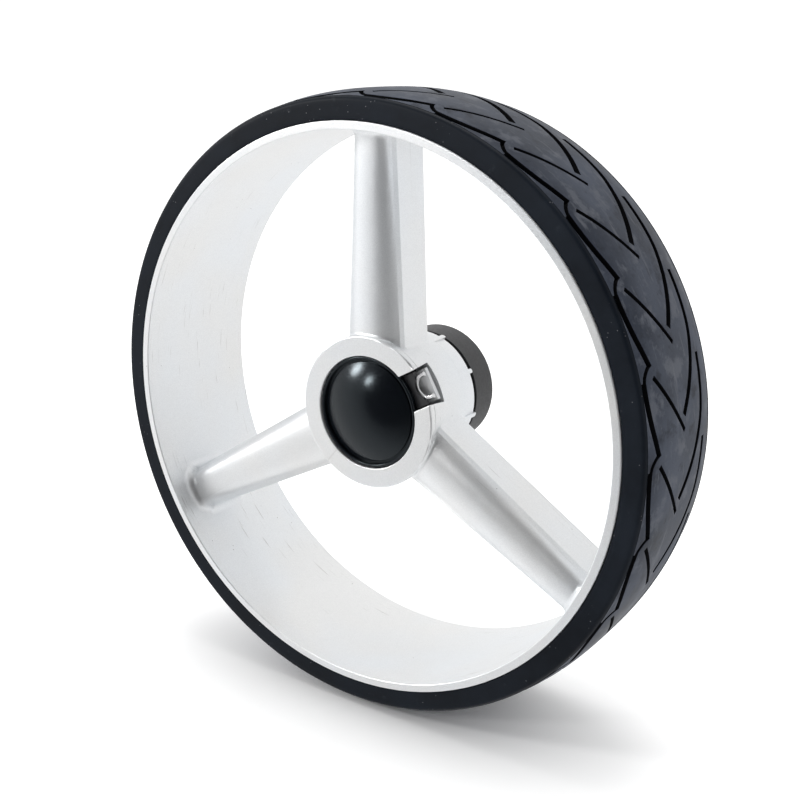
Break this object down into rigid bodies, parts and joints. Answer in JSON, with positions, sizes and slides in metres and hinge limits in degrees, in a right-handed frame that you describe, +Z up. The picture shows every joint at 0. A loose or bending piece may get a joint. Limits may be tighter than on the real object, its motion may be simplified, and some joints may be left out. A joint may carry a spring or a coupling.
{
  "type": "trolley wheel",
  "caption": "Three-spoke wheel with a ribbed solid tyre, a domed hub cap, a thumb catch that releases the axle, sealed ball bearings and a slotted drive collar at the back.",
  "frame": {"origin": "the wheel's centre: on the axle's axis, midway between the rim's two faces", "axes": "the wheel spins about +Y, which points to the trolley; -Y is the outer side with the hub cap; +Z is up, along one spoke"},
  "size_m": [0.29, 0.0782, 0.2898],
  "materials": {
    "tyre_rubber": "smooth sidewall, grooved tread with a slight bloom",
    "silver_paint": "silver metallic paint",
    "cap_black": "polished",
    "carrier_black": "fine moulded texture",
    "slider_black": "smooth moulded",
    "collar_black": "satin, moulded, glass-filled",
    "black_steel": "black oxide",
    "plated_steel": "zinc plated",
    "rivet_steel": "turned",
    "wire_steel": "drawn stainless wire",
    "spring_steel": "bright spring wire",
    "spring_steel_dark": "phosphated",
    "sleeve_steel": "ground",
    "spacer_aluminium": "turned",
    "race_steel": "ground",
    "ball_steel": "polished",
    "cage_steel": "pressed",
    "shield_steel": "pressed",
    "seal_rubber": "satin"
  },
  "bodies": {
    "axle": {"axle_sleeve": "sleeve_steel", "inner_spacer": "spacer_aluminium", "sleeve_circlip": "spring_steel_dark", "thrust_washer": "plated_steel", "front_inner_race": "race_steel", "rear_inner_race": "race_steel"},
    "wheel": {"tyre": "tyre_rubber", "wheel_moulding": "silver_paint", "hub_cap": "cap_black", "latch_carrier": "carrier_black", "carrier_screws": "black_steel", "catch_springs": "spring_steel", "front_outer_race": "race_steel", "rear_outer_race": "race_steel", "front_shields": "shield_steel", "rear_shields": "shield_steel", "drive_collar": "collar_black", "collar_screws": "black_steel", "bearing_retaining_ring": "spring_steel_dark", "shaft_seal": "seal_rubber"},
    "catch": {"catch_slider": "slider_black", "latch_plate": "plated_steel", "latch_rivets": "rivet_steel", "thumb_loop": "wire_steel"},
    "front_ball_set": {"front_balls": "ball_steel", "front_cage": "cage_steel"},
    "rear_ball_set": {"rear_balls": "ball_steel", "rear_cage": "cage_steel"}
  },
  "joints": [
    {"name": "wheel_spin", "type": "hinge", "parent": "axle", "child": "wheel", "pos_m": [0, 0, 0], "axis": [0, 1, 0], "continuous": true},
    {"name": "catch_slide", "type": "slide", "parent": "wheel", "child": "catch", "axis": [-0.866, 0, -0.5], "range_m": [0, 0.004], "stiffness_N_per_m": 800, "springref_m": -0.004, "deforming": ["catch_springs"]},
    {"name": "front_cage_orbit", "type": "hinge", "parent": "axle", "child": "front_ball_set", "pos_m": [0, 0, 0], "axis": [0, 1, 0], "continuous": true},
    {"name": "rear_cage_orbit", "type": "hinge", "parent": "axle", "child": "rear_ball_set", "pos_m": [0, 0, 0], "axis": [0, 1, 0], "continuous": true}
  ],
  "couplings": [
    {"joint": "front_cage_orbit", "follows": "wheel_spin", "ratio": 0.6013},
    {"joint": "rear_cage_orbit", "follows": "wheel_spin", "ratio": 0.6013}
  ]
}
